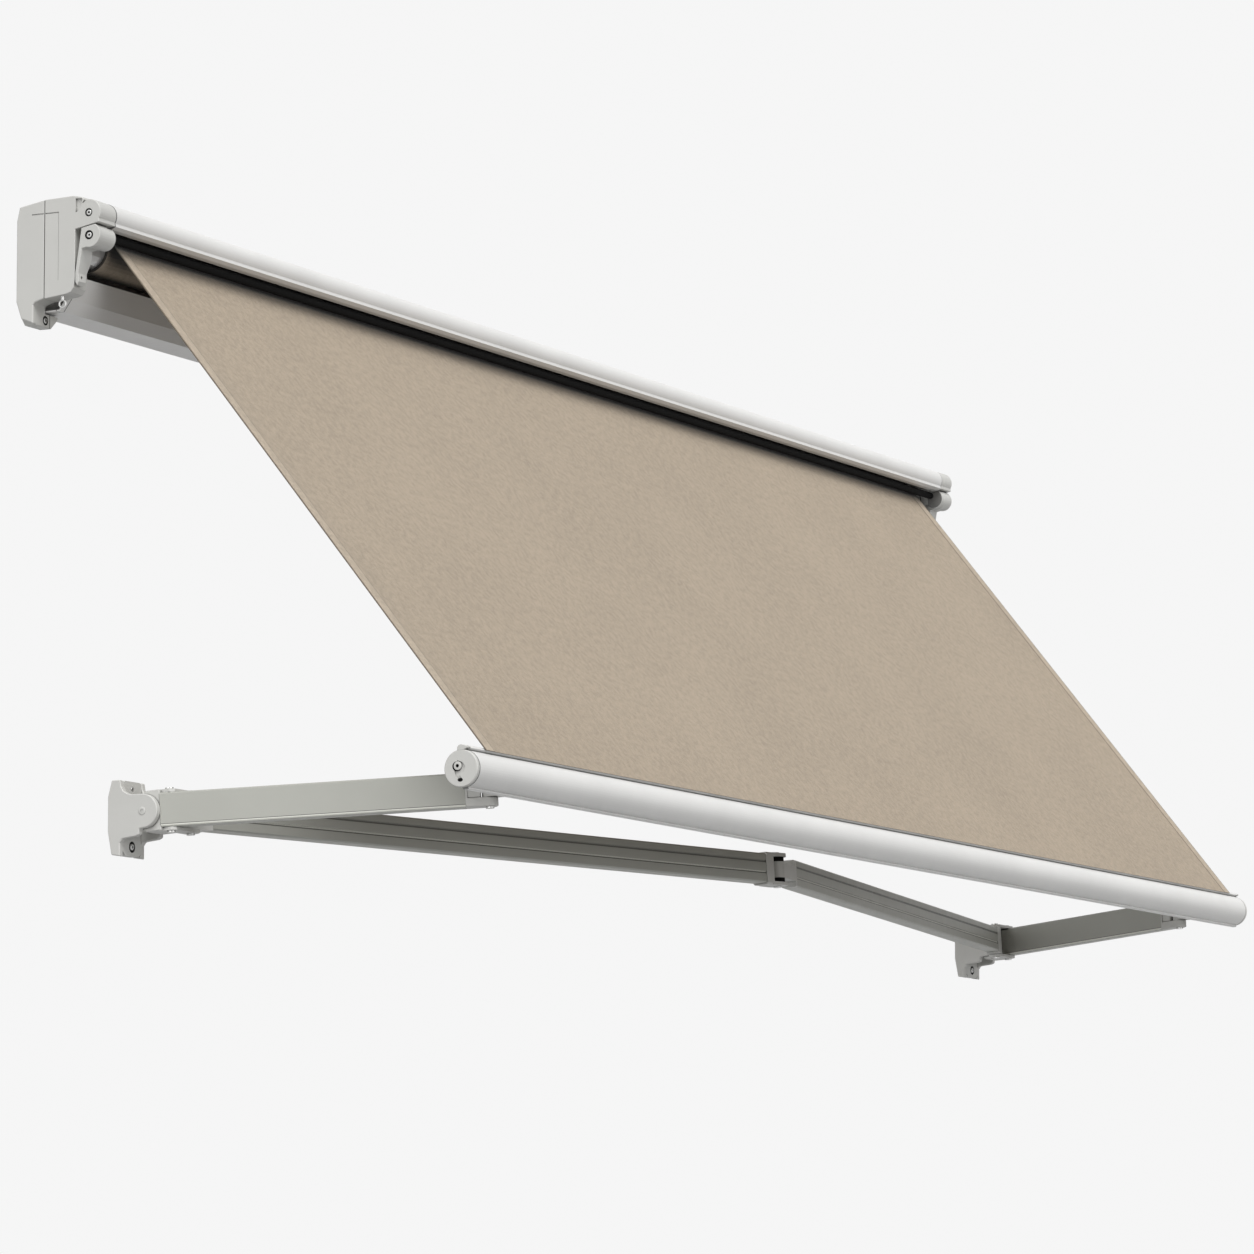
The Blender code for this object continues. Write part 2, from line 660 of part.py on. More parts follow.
# The arms: a closed profile from the shoulder to a rounded lug under the bar
arm_section = rectangle(arm_width, arm_height, 0.003)
arm_hole = rectangle(arm_width - 2 * arm_wall, arm_height - 2 * arm_wall, 0.002)
bar_ahead = tip_ahead + bar_offset
tip_setback = 0.044
spigot_length = 0.040
tip_lug_top = -half_arm + 0.017
for label, side in sides:
    root = (side * (half_arms + arm_outset), -arm_pin_ahead)
    tip = (side * (half_arms - tip_inset), -tip_ahead)
    run = (Vector(tip) - Vector(root)).normalized()
    end = along(tip, root, tip_setback)
    arm = strut(
        f"{label}_arm", root, tip, arm_section, arm_finish,
        ((0.0, -shoulder_front - seat), (0.0, 1.0)), (end, run), arm_hole,
    )
    cut(arm, drum(f"{label}_arm_bore", pin_radius + seat, -0.06, 0.06, "Z", None, pivot, (*root, 0.0), 16))

    turn = Matrix.Rotation(math.atan2(run.x, -run.y), 4, "Z")
    fitting = bpy.data.objects.new(f"{label}_tip_frame", None)
    bpy.context.scene.collection.objects.link(fitting)
    fitting.parent = pivot
    fitting.location = (*tip, 0.0)
    fitting.rotation_euler = turn.to_euler()
    plug = rectangle(arm_width, arm_height, 0.003)
    tip_part = prism(f"{label}_arm_tip", plug, tip_setback - 0.004, tip_setback - seat, "Y", casting, fitting)
    spigot = rectangle(arm_width - 2 * arm_wall - 2 * seat, arm_height - 2 * arm_wall - 2 * seat, 0.002)
    inside = prism(f"{label}_tip_spigot", spigot, tip_setback - 0.002, tip_setback + spigot_length, "Y", None, fitting)
    join(tip_part, inside)
    lug = circle(lug_radius, (0.0, 0.0), 18, math.radians(180), math.radians(180))
    lug += [(lug_radius + 0.001, tip_setback - 0.002), (-lug_radius - 0.001, tip_setback - 0.002)]
    nose = prism(f"{label}_tip_lug", lug, -half_arm, tip_lug_top, "Z", None, fitting)
    join(tip_part, soften(nose, 0.002))
    cut(tip_part, drum(f"{label}_tip_bore", pin_radius + seat, -0.06, 0.06, "Z", None, fitting, steps=16))

    # The connector under the bar, on top of the tip lug and held to it by the tip pin
    connector_low = tip_lug_top + seat
    connector_high = bar_above - bar_radius * 0.4
    spot = (*tip, 0.0)
    half_connector = lug_radius - 0.002
    shape = circle(half_connector, (0.0, 0.0), 16, 0.0, math.pi)
    shape += [(-half_connector - 0.004, -0.016), (-half_connector - 0.004, -bar_offset - 0.020),
              (half_connector + 0.004, -bar_offset - 0.020), (half_connector + 0.004, -0.016)]
    connector = prism(
        f"{label}_bar_connector", shape, connector_low, connector_high, "Z", casting, pivot, centre=spot
    )
    saddle = drum(
        f"{label}_saddle", bar_radius + seat, -0.06, 0.06, "X", None, pivot, (tip[0], -bar_ahead, bar_above), 48
    )
    keel_space = box(
        f"{label}_keel_space", (-0.06, -bar_offset - 0.030, bar_above - bar_radius - 0.020),
        (0.06, -bar_offset + 0.008, bar_above), None, pivot, spot,
    )
    cut(connector, saddle, keel_space)
    cut(connector, drum(f"{label}_connector_bore", pin_radius + seat, -0.06, 0.06, "Z", None, pivot, spot, 16))
    pin = drum(
        f"{label}_tip_pin", pin_radius, -half_arm - seat - 0.001, connector_high + seat + 0.001, "Z", steel, fitting,
        steps=16,
    )
    for name, low in (("top", connector_high + seat), ("bottom", -half_arm - seat - pin_head)):
        join(pin, drum(f"{label}_tip_{name}_head", pin_radius + 0.003, low, low + pin_head, "Z", None, fitting, steps=16))


# The front bar: a round tube with a hooked lip over the canvas slot and a keel underneath
half_bar = bar_length / 2
bar_centre = (-bar_ahead, bar_above)
hook_outline = [
    (0.0060, -0.0020),
    (0.0060, 0.0040),
    (0.0030, 0.0080),
    (-0.0030, 0.0095),
    (-0.0095, 0.0075),
    (-0.0155, 0.0045),
    (-0.0167, 0.0022),
    (-0.0060, -0.0020),
]
keel_outline = [
    (-0.0070, 0.0020),
    (-0.0085, -0.0025),
    (-0.0055, -0.0040),
    (0.0020, -0.0035),
    (0.0050, 0.0015),
]
hook = shifted(hook_outline, bar_centre[0], bar_centre[1] + bar_radius)
keel = shifted(keel_outline, bar_centre[0], bar_centre[1] - bar_radius)
bar_outer = circle(bar_radius, bar_centre, 48)
bar_inner = circle(bar_radius - bar_wall, bar_centre, 48)
bar = prism("front_bar", bar_outer, -half_bar, half_bar, "X", rail_finish, pivot, holes=(bar_inner,))
join(
    bar,
    prism("bar_hook", hook, -half_bar, half_bar, "X", None, pivot),
    prism("bar_keel", keel, -half_bar, half_bar, "X", None, pivot),
)
crescent_outline = [
    (0.0060, 0.0150),
    (0.0145, 0.0040),
    (0.0125, -0.0110),
    (0.0040, -0.0220),
    (-0.0020, -0.0200),
    (0.0040, -0.0110),
    (-0.0060, -0.0060),
    (-0.0090, 0.0030),
    (-0.0040, 0.0110),
]
for label, side in sides:
    span = mirrored(side, half_bar + seat, half_bar + cap_thickness)
    centre = (0.0, *bar_centre)
    cap = soften(drum(f"{label}_bar_cap", bar_radius, *span, "X", casting, pivot, centre, 36), 0.0015, 1)
    join(cap, soften(prism(f"{label}_cap_hook", hook, *span, "X", None, pivot), 0.0010, 1))
    span = mirrored(side, half_bar - 0.020, half_bar + 0.004)
    join(cap, drum(f"{label}_cap_spigot", bar_radius - bar_wall - seat, *span, "X", None, pivot, centre, 36))
    span = mirrored(side, half_bar + cap_thickness - 0.0025, half_bar + cap_thickness + 0.002)
    crescent = shifted(crescent_outline, *bar_centre)
    cut(cap, prism(f"{label}_cap_crescent", crescent, *span, "X", None, pivot))


# The canvas, a taut sheet from the roll to the top of the bar
def to_world(y, z):
    """A point of the arm frame at rest, given as (y, z), in world (y, z)."""
    c, s = math.cos(rest_tilt), math.sin(rest_tilt)
    return Vector((tilt_y + y * c + z * s, -drop_height - y * s + z * c))


hook_tip = (hook[6][0] - seat - 2 * canvas_thickness, hook[6][1])
bar_world = to_world(*hook_tip)
roller_world = Vector(roller_centre)
roll_reach = roll_radius + seat + canvas_thickness / 2
gap = bar_world - roller_world
distance = gap.length
straight = math.sqrt(distance ** 2 - roll_reach ** 2)
swing = math.asin(roll_reach / distance)
line = gap.normalized()
run = Vector((
    line.x * math.cos(swing) - line.y * math.sin(swing),
    line.x * math.sin(swing) + line.y * math.cos(swing),
))
normal = Vector((run.y, -run.x))
if normal.x > 0:
    normal = -normal
start = bar_world - run * straight
stop = bar_world
thick = normal * (canvas_thickness / 2)
canvas_outline = [tuple(start + thick), tuple(stop + thick), tuple(stop - thick), tuple(start - thick)]
prism("canvas", canvas_outline, -half_canvas, half_canvas, "X", canvas_cloth)


# The brace: two grooved profiles that meet in an elbow at the middle
elbow = (0.0, -elbow_ahead)
elbow_lug = 0.007
root_setback = 0.046
elbow_half = brace_height_left / 2 + 0.003
fork_start = 0.061
fork_end = 0.036
tongue_end = 0.100
brace_heights = {"left": brace_height_left, "right": brace_height_right}
for label, side in sides:
    inward = -side
    root = (side * half_arms + inward * brace_pin_inset, -brace_pin_ahead)
    run = (Vector(elbow) - Vector(root)).normalized()
    height = brace_heights[label]
    section = grooved(brace_width, height, 0.003)
    hole_section = rectangle(brace_width - 2 * arm_wall - 0.004, height - 2 * arm_wall, 0.002)
    setback = fork_start if label == "left" else tongue_end
    root_end = along(root, elbow, root_setback)
    far_end = along(elbow, root, setback)
    brace = strut(f"{label}_brace", root, elbow, section, arm_finish, (root_end, run), (far_end, run))
    hollow = strut(
        f"{label}_brace_hollow", root, elbow, hole_section, None,
        (along(root, elbow, 0.040), run), (along(elbow, root, setback - 0.010), run),
    )
    cut(brace, hollow)

    turn = Matrix.Rotation(math.atan2(run.y, run.x), 4, "Z")
    frame = bpy.data.objects.new(f"{label}_brace_frame", None)
    bpy.context.scene.collection.objects.link(frame)
    frame.parent = pivot
    frame.location = (*root, 0.0)
    frame.rotation_euler = turn.to_euler()
    spigot = rectangle(brace_width - 2 * arm_wall - 0.004 - 2 * seat, height - 2 * arm_wall - 2 * seat, 0.002)

    # The root fitting turns on the brace pin between the lug plates
    shape = circle(0.014, (0.0, 0.0), 16, math.radians(90), math.radians(180))
    shape += [(root_setback - seat, -brace_width / 2), (root_setback - seat, brace_width / 2)]
    fitting = prism(f"{label}_brace_root", shape, -half_arm, half_arm, "Z", casting, frame)
    join(
        fitting,
        prism(f"{label}_root_spigot", spigot, root_setback - 0.005, root_setback + spigot_length, "X", None, frame),
    )
    cut(fitting, drum(f"{label}_root_bore", pin_radius + seat, -0.06, 0.06, "Z", None, frame, steps=16))

    # The elbow fitting: a fork on the left brace, a tongue on the right one
    elbow_frame = bpy.data.objects.new(f"{label}_elbow_frame", None)
    bpy.context.scene.collection.objects.link(elbow_frame)
    elbow_frame.parent = pivot
    elbow_frame.location = (*elbow, 0.0)
    elbow_frame.rotation_euler = turn.to_euler()
    if label == "left":
        block = rectangle(brace_width + 0.004, 2 * elbow_half, 0.003)
        part = prism("elbow_fork", block, -fork_start + seat, -fork_end, "X", casting, elbow_frame)
        lug = circle(elbow_radius, (0.0, 0.0), 16, math.radians(-90), math.radians(180))
        lug += [(-fork_end - 0.004, elbow_radius - 0.003), (-fork_end - 0.004, -elbow_radius + 0.003)]
        for name, low in (("upper", elbow_half - elbow_lug), ("lower", -elbow_half)):
            join(part, prism(f"elbow_{name}_lug", lug, low, low + elbow_lug, "Z", None, elbow_frame))
        join(part, prism("fork_spigot", spigot, -fork_start - spigot_length, -fork_start + 0.005, "X", None, elbow_frame))
    else:
        shape = circle(0.018, (0.0, 0.0), 16, math.radians(90), math.radians(-180))
        shape += [(-tongue_end + 0.008, -0.017), (-tongue_end + 0.008, 0.017)]
        part = prism("elbow_tongue", shape, -tongue_height / 2, tongue_height / 2, "Z", casting, elbow_frame)
        block = rectangle(brace_width, height, 0.003)
        join(part, prism("tongue_flange", block, -tongue_end + seat, -tongue_end + 0.012, "X", None, elbow_frame))
        join(part, prism("tongue_spigot", spigot, -tongue_end - spigot_length, -tongue_end + 0.005, "X", None, elbow_frame))
    cut(part, drum(f"{label}_elbow_bore", pin_radius + seat, -0.06, 0.06, "Z", None, elbow_frame, steps=16))

spot = (*elbow, 0.0)
reach = elbow_half + seat
pin = drum("elbow_pin", pin_radius, -reach - 0.001, reach + 0.001, "Z", steel, pivot, spot, 16)
for name, low in (("top", reach), ("bottom", -reach - pin_head)):
    join(pin, drum(f"elbow_{name}_head", pin_radius + 0.003, low, low + pin_head, "Z", None, pivot, spot, 16))
bush_low = tongue_height / 2 + seat
bush_high = elbow_half - elbow_lug - seat
for name, sign in (("upper", 1), ("lower", -1)):
    span = sorted((sign * bush_low, sign * bush_high))
    prism(
        f"elbow_{name}_bush", circle(0.017, steps=20), *span, "Z", dark_steel, pivot,
        holes=(circle(pin_radius + seat, steps=20),), centre=spot,
    )
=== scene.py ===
"""The looks of the drop-arm canvas awning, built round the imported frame."""

import json
import math

import bmesh
import bpy
from mathutils import Matrix, Vector


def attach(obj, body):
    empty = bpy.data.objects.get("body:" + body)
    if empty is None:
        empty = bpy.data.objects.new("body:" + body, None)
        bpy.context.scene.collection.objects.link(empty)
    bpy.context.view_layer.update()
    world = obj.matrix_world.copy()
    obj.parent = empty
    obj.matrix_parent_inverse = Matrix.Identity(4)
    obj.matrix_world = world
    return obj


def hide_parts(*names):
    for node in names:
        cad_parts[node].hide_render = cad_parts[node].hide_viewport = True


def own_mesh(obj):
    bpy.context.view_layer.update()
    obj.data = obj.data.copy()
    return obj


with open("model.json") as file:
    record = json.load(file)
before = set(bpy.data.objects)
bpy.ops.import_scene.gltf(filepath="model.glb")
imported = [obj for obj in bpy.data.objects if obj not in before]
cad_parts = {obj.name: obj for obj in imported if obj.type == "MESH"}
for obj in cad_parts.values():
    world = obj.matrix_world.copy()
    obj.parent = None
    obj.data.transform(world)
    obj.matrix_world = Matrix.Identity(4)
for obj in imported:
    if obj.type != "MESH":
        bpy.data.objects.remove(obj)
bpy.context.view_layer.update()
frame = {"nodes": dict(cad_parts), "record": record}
nodes = frame["nodes"]
SIDES = (("left", -1), ("right", 1))
MM = 0.001

# The tilt axis, as its Y and Z, and the tilt of the arms at rest
TILT = (-0.290, -1.0705)
REST_TILT = math.radians(3.7)


# Camera: fitted to the corners of the canvas, the rail, the bar and the arms in the photograph
IMAGE_SIZE = 1254
FOCAL_PIXELS = 6200.0
CAMERA_PLACE = Vector((-11.8076, -6.1663, -2.1174))
CAMERA_TURN = math.radians(26.4588)
CAMERA_PITCH = math.radians(6.9407)
CAMERA_ROLL = math.radians(-0.1118)
SENSOR_WIDTH = 36.0
FAR_CLIP = 200.0


def add_camera():
    data = bpy.data.cameras.new("camera")
    data.sensor_width = SENSOR_WIDTH
    data.lens = FOCAL_PIXELS / IMAGE_SIZE * SENSOR_WIDTH
    data.clip_end = FAR_CLIP
    camera = bpy.data.objects.new("camera", data)
    bpy.context.scene.collection.objects.link(camera)
    level = Vector((math.cos(CAMERA_TURN), math.sin(CAMERA_TURN), 0.0))
    ahead = level * math.cos(CAMERA_PITCH) + Vector((0.0, 0.0, math.sin(CAMERA_PITCH)))
    right = Vector((level.y, -level.x, 0.0))
    up = right.cross(ahead)
    right, up = (
        right * math.cos(CAMERA_ROLL) + up * math.sin(CAMERA_ROLL),
        up * math.cos(CAMERA_ROLL) - right * math.sin(CAMERA_ROLL),
    )
    turn = Matrix((right, up, -ahead)).transposed().to_4x4()
    camera.matrix_world = Matrix.Translation(CAMERA_PLACE) @ turn
    bpy.context.scene.camera = camera


# Materials: the nodes they are made of
def shader_of(name, colour, roughness, metallic=0.0):
    mat = bpy.data.materials.new(name)
    mat.use_nodes = True
    shader = mat.node_tree.nodes["Principled BSDF"]
    shader.inputs["Base Color"].default_value = (*colour, 1.0)
    shader.inputs["Roughness"].default_value = roughness
    shader.inputs["Metallic"].default_value = metallic
    mat.diffuse_color = (*colour, 1.0)
    return mat, mat.node_tree, shader


def object_coords(tree):
    return tree.nodes.new("ShaderNodeTexCoord").outputs["Object"]


def axes_of(tree, coords):
    """The X, Y and Z of a point, each a socket of its own."""
    split = tree.nodes.new("ShaderNodeSeparateXYZ")
    tree.links.new(coords, split.inputs["Vector"])
    return split.outputs["X"], split.outputs["Y"], split.outputs["Z"]


def noise(tree, coords, scale, detail=2.0):
    texture = tree.nodes.new("ShaderNodeTexNoise")
    texture.inputs["Scale"].default_value = scale
    texture.inputs["Detail"].default_value = detail
    tree.links.new(coords, texture.inputs["Vector"])
    return texture.outputs["Fac"]


def ramp(tree, value, low, high, from_min=0.3, from_max=0.7):
    """A value stretched to run from low to high; the default range is that of a noise."""
    node = tree.nodes.new("ShaderNodeMapRange")
    node.inputs["From Min"].default_value = from_min
    node.inputs["From Max"].default_value = from_max
    node.inputs["To Min"].default_value = low
    node.inputs["To Max"].default_value = high
    tree.links.new(value, node.inputs["Value"])
    return node.outputs["Result"]


def math_node(tree, operation, first, second=0.0):
    node = tree.nodes.new("ShaderNodeMath")
    node.operation = operation
    for socket, value in zip(node.inputs, (first, second)):
        if isinstance(value, (int, float)):
            socket.default_value = value
        else:
            tree.links.new(value, socket)
    return node.outputs["Value"]


def mix_colour(tree, factor, first, second):
    """first where the factor is 0, second where it is 1; each a colour or a socket."""
    node = tree.nodes.new("ShaderNodeMix")
    node.data_type = "RGBA"
    tree.links.new(factor, node.inputs["Factor"])
    colour_inputs = [socket for socket in node.inputs if socket.type == "RGBA"]
    for socket, value in zip(colour_inputs, (first, second)):
        if isinstance(value, tuple):
            socket.default_value = (*value, 1.0)
        else:
            tree.links.new(value, socket)
    return [socket for socket in node.outputs if socket.type == "RGBA"][0]


def shade(colour, share):
    return tuple(share * part for part in colour)


def bump(tree, shader, height, strength, distance):
    node = tree.nodes.new("ShaderNodeBump")
    node.inputs["Strength"].default_value = strength
    node.inputs["Distance"].default_value = distance
    tree.links.new(height, node.inputs["Height"])
    tree.links.new(node.outputs["Normal"], shader.inputs["Normal"])


def set_gloss(tree, shader, grain, low, high):
    """A roughness that wanders between two levels with a grain."""
    tree.links.new(ramp(tree, grain, low, high), shader.inputs["Roughness"])


def crease_shade_mask(tree, reach, closed=0.15, open_air=0.75):
    """1 on open surfaces, falling to 0 in gaps and inside corners, where painted shade darkens the
    colour.
    """
    node = tree.nodes.new("ShaderNodeAmbientOcclusion")
    node.samples = 8
    node.inputs["Distance"].default_value = reach
    return ramp(tree, node.outputs["AO"], 0.0, 1.0, closed, open_air)


def near(tree, value, place, half):
    """1 within half of a place, 0 beyond it."""
    distance = math_node(tree, "ABSOLUTE", math_node(tree, "SUBTRACT", value, place))
    return math_node(tree, "LESS_THAN", distance, half)


# Joints between pieces, as a place and half a width, where painted shade darkens the coat: the
# cover's along Y, the rail's and the bar's along X from the middle. The cassette lies above a
# height, and the bar in front of a depth.
COVER_SEAM = (-0.0615, 1.0 * MM)
RAIL_SEAM = (1.940, 1.4 * MM)
BAR_SEAM = (1.9375, 1.2 * MM)
CASSETTE_ABOVE = -0.5
BAR_BEFORE = -0.85


def joint_shade_lines(tree, coords):
    """1 along the joints between the castings and the profiles, where painted shade darkens the
    coat.
    """
    x, y, z = axes_of(tree, coords)
    across = math_node(tree, "ABSOLUTE", x)
    at_cassette = math_node(tree, "GREATER_THAN", z, CASSETTE_ABOVE)
    past_rail = math_node(tree, "GREATER_THAN", across, RAIL_SEAM[0])
    at_ends = math_node(tree, "MULTIPLY", at_cassette, past_rail)
    at_bar = math_node(tree, "LESS_THAN", y, BAR_BEFORE)
    cover = math_node(tree, "MULTIPLY", near(tree, y, *COVER_SEAM), at_ends)
    rail = math_node(tree, "MULTIPLY", near(tree, across, *RAIL_SEAM), at_cassette)
    bar = math_node(tree, "MULTIPLY", near(tree, across, *BAR_SEAM), at_bar)
    return math_node(tree, "MAXIMUM", math_node(tree, "MAXIMUM", cover, rail), bar)


# Painted shade and painted highlight lines along the profiles, each as its height above the arms'
# middle and half its width
BRACE_UPPER_GROOVE = (13.2 * MM, 1.5 * MM)
BRACE_LOWER_GROOVE = (-10.6 * MM, 1.4 * MM)
BRACE_GLINT = (-7.9 * MM, 1.3 * MM)
ARM_LIP_GROOVE = (-26.8 * MM, 0.8 * MM)
ARM_LIP_GLINT = (-29.4 * MM, 1.7 * MM)

# The line across the arm frame that has the arms outside it and the braces inside it
ARM_SLANT = 0.447
ARM_INSIDE = 1.965


def profile_lines(tree, coords):
    """Where painted shade lines run in the braces' grooves and over the arms' lower lips, and
    painted highlight lines beside them.
    """
    x, y, z = axes_of(tree, coords)
    ahead = math_node(tree, "ADD", y, -TILT[0])
    above = math_node(tree, "ADD", z, -TILT[1])
    rise = math_node(tree, "MULTIPLY", ahead, math.sin(REST_TILT))
    level = math_node(tree, "ADD", rise, math_node(tree, "MULTIPLY", above, math.cos(REST_TILT)))
    across = math_node(tree, "ABSOLUTE", x)
    beside = math_node(tree, "SUBTRACT", across, math_node(tree, "MULTIPLY", ahead, ARM_SLANT))
    on_brace = math_node(tree, "LESS_THAN", beside, ARM_INSIDE)
    on_arm = math_node(tree, "GREATER_THAN", beside, ARM_INSIDE)
    upper = near(tree, level, *BRACE_UPPER_GROOVE)
    lower = near(tree, level, *BRACE_LOWER_GROOVE)
    dark_brace = math_node(tree, "MULTIPLY", math_node(tree, "MAXIMUM", upper, lower), on_brace)
    dark_arm = math_node(tree, "MULTIPLY", near(tree, level, *ARM_LIP_GROOVE), on_arm)
    light_brace = math_node(tree, "MULTIPLY", near(tree, level, *BRACE_GLINT), on_brace)
    light_arm = math_node(tree, "MULTIPLY", near(tree, level, *ARM_LIP_GLINT), on_arm)
    dark = math_node(tree, "MAXIMUM", dark_brace, dark_arm)
    return dark, math_node(tree, "MAXIMUM", light_brace, light_arm)


# Shares of a coat's own colour: in its mottle, its painted joint shade, its painted groove shade and
# its painted highlights; and how much of the coat the painted joint shade hides
MOTTLE_SHARE = 0.95
JOINT_SHADE_SHARE = 0.06
GROOVE_SHADE_SHARE = 0.40
GLINT_SHARE = 2.00
JOINT_SHADE_STRENGTH = 0.75


def powder_coat(name, colour, roughness, strength=0.12, reach=6 * MM, crease_shade_share=0.06, lined=False):
    """Painted metal: orange peel, a slight mottle in tone and gloss, painted shade along its joints
    and in its creases, and where lined, painted shade and painted highlight lines along the
    profiles.
    """
    mat, tree, shader = shader_of(name, colour, roughness)
    coords = object_coords(tree)
    tone = ramp(tree, noise(tree, coords, scale=9.0, detail=4.0), 0.0, 1.0)
    coat = mix_colour(tree, tone, shade(colour, MOTTLE_SHARE), colour)
    # Painted shade along the joints between the castings and the profiles
    joint_shade = math_node(tree, "MULTIPLY", joint_shade_lines(tree, coords), JOINT_SHADE_STRENGTH)
    coat = mix_colour(tree, joint_shade, coat, shade(colour, JOINT_SHADE_SHARE))
    if lined:
        # Painted shade in the grooves and painted highlights on the lips
        dark, light = profile_lines(tree, coords)
        coat = mix_colour(tree, dark, coat, shade(colour, GROOVE_SHADE_SHARE))
        coat = mix_colour(tree, light, coat, shade(colour, GLINT_SHARE))
    # Painted shade in the creases and gaps that ambient occlusion finds
    crease_shade = shade(colour, crease_shade_share)
    tree.links.new(mix_colour(tree, crease_shade_mask(tree, reach), crease_shade, coat), shader.inputs["Base Color"])
    set_gloss(tree, shader, noise(tree, coords, scale=60.0), roughness - 0.05, roughness + 0.05)
    bump(tree, shader, noise(tree, coords, scale=1400.0), strength, distance=0.4 * MM)
    return mat


def plain_metal(name, colour, roughness, metallic, specular=0.5):
    """Bare metal or plastic, with a fine grain."""
    mat, tree, shader = shader_of(name, colour, roughness, metallic)
    shader.inputs["Specular IOR Level"].default_value = specular
    coords = object_coords(tree)
    grain = noise(tree, coords, scale=200.0, detail=3.0)
    set_gloss(tree, shader, grain, roughness - 0.06, roughness + 0.08)
    bump(tree, shader, noise(tree, coords, scale=900.0), strength=0.1, distance=0.3 * MM)
    return mat


# Mottling of the canvas: the scale, detail and weight of each layer, from broad clouds to slubs
CANVAS_MOTTLE = ((3.0, 4.0, 0.25), (85.0, 5.0, 0.75), (260.0, 3.0, 0.35))
# Shares of the canvas colour: the thinnest and the fullest of its mottle, and the painted shade
# where other parts close it in
THIN_SHARE, FULL_SHARE, CANVAS_SHADE_SHARE = 0.76, 1.10, 0.03
CANVAS_ROUGHNESS = 0.92
CANVAS_SHADE_REACH = 100 * MM
THREAD_PITCH = 1.2 * MM
SLUB_HEIGHT = 1.6


def weave(tree, coords, pitch):
    """The height of a plain weave: two crossed rows of threads."""
    x, _, z = axes_of(tree, coords)
    rows = []
    for axis in (x, z):
        turn = math_node(tree, "MULTIPLY", axis, 2 * math.pi / pitch)
        rows.append(math_node(tree, "SINE", turn))
    return math_node(tree, "MULTIPLY", rows[0], rows[1])


def canvas_material(name, colour):
    """Woven acrylic canvas: threads in its bump, slubs and soft mottling in its tone, and painted
    shade that falls to near black where other parts close it in.
    """
    mat, tree, shader = shader_of(name, colour, CANVAS_ROUGHNESS)
    coords = object_coords(tree)
    broad, middle, fine = (
        ramp(tree, noise(tree, coords, scale, detail), 0.0, weight)
        for scale, detail, weight in CANVAS_MOTTLE
    )
    tone = math_node(tree, "ADD", math_node(tree, "ADD", broad, middle), fine)
    cloth = mix_colour(tree, tone, shade(colour, THIN_SHARE), shade(colour, FULL_SHARE))
    # Painted shade: the canvas darkens to near black where other parts close it in, as under the
    # rail
    in_open = crease_shade_mask(tree, CANVAS_SHADE_REACH, closed=0.40, open_air=0.90)
    shaded = mix_colour(tree, in_open, shade(colour, CANVAS_SHADE_SHARE), cloth)
    tree.links.new(shaded, shader.inputs["Base Color"])
    shader.inputs["Sheen Weight"].default_value = 0.15
    shader.inputs["Sheen Roughness"].default_value = 0.6
    threads = weave(tree, coords, THREAD_PITCH)
    slubs = math_node(tree, "MULTIPLY", noise(tree, coords, scale=420.0, detail=3.0), SLUB_HEIGHT)
    relief = math_node(tree, "ADD", threads, slubs)
    bump(tree, shader, relief, strength=0.35, distance=0.4 * MM)
    return mat


CASTING = powder_coat("casting_coat", (0.60, 0.597, 0.571), roughness=0.48)
# The rail's creases get a lighter painted shade
RAIL = powder_coat(
    "rail_coat", (0.78, 0.775, 0.76), roughness=0.38, strength=0.05, reach=3 * MM, crease_shade_share=0.35
)
# The coat of the arms and braces carries painted shade lines in the grooves and painted highlight
# lines on the lips
ARM = powder_coat("arm_coat", (0.42, 0.422, 0.385), roughness=0.44, strength=0.05, lined=True)
STEEL = plain_metal("zinc_steel", (0.56, 0.56, 0.55), roughness=0.38, metallic=0.8)
# Black, near unlit: the finish of dark plastic parts, and painted shade for pieces that stand for
# gaps, sockets and slots
DARK = plain_metal("black_plastic_and_shade", (0.004, 0.004, 0.004), roughness=0.8, metallic=0.0, specular=0.1)
CLOTH = canvas_material("canvas_cloth", (0.400, 0.325, 0.240))
HEM = canvas_material("hem_cloth", (0.47, 0.390, 0.295))
SEAM = canvas_material("hem_seam_cloth", (0.20, 0.16, 0.115))
# Painted shade: a dark strip along each outer edge of the canvas stands for the shaded fold of the
# hem
EDGE_SHADE = canvas_material("hem_edge_shade_cloth", (0.16, 0.125, 0.090))

FINISHES = {
    "casting": CASTING,
    "rail": RAIL,
    "arm": ARM,
    "steel": STEEL,
    "dark": DARK,
    "canvas": CLOTH,
}


def dress_frame():
    """Give every CAD node the finish of its slot."""
    for part in frame["record"]["subparts"]:
        mesh = nodes[part["node"]].data
        mesh.materials.clear()
        mesh.materials.append(FINISHES[part["material_slot"]])


# Pieces
SHARP_ANGLE = math.radians(30)
RING_CORNERS = 24


def add_piece(name, bm, material, body):
    """A piece from a bmesh, which this call frees; it rides a body where one is given."""
    bmesh.ops.recalc_face_normals(bm, faces=bm.faces)
    mesh = bpy.data.meshes.new(name)
    bm.to_mesh(mesh)
    bm.free()
    mesh.materials.append(material)
    mesh.shade_smooth()
    mesh.set_sharp_from_angle(angle=SHARP_ANGLE)
    piece = bpy.data.objects.new(name, mesh)
    bpy.context.scene.collection.objects.link(piece)
    if body:
        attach(piece, body)
    return piece


def ring(bm, radius, height, sides=0):
    """A ring of points round +Z: a circle, or a polygon of that many sides with as many points."""
    points = []
    for i in range(RING_CORNERS):
        turn = 2 * math.pi * i / RING_CORNERS
        reach = radius
        if sides:
            sector = 2 * math.pi / sides
            reach = radius * math.cos(sector / 2) / math.cos(turn % sector - sector / 2)
        points.append(bm.verts.new((reach * math.cos(turn), reach * math.sin(turn), height)))
    return points


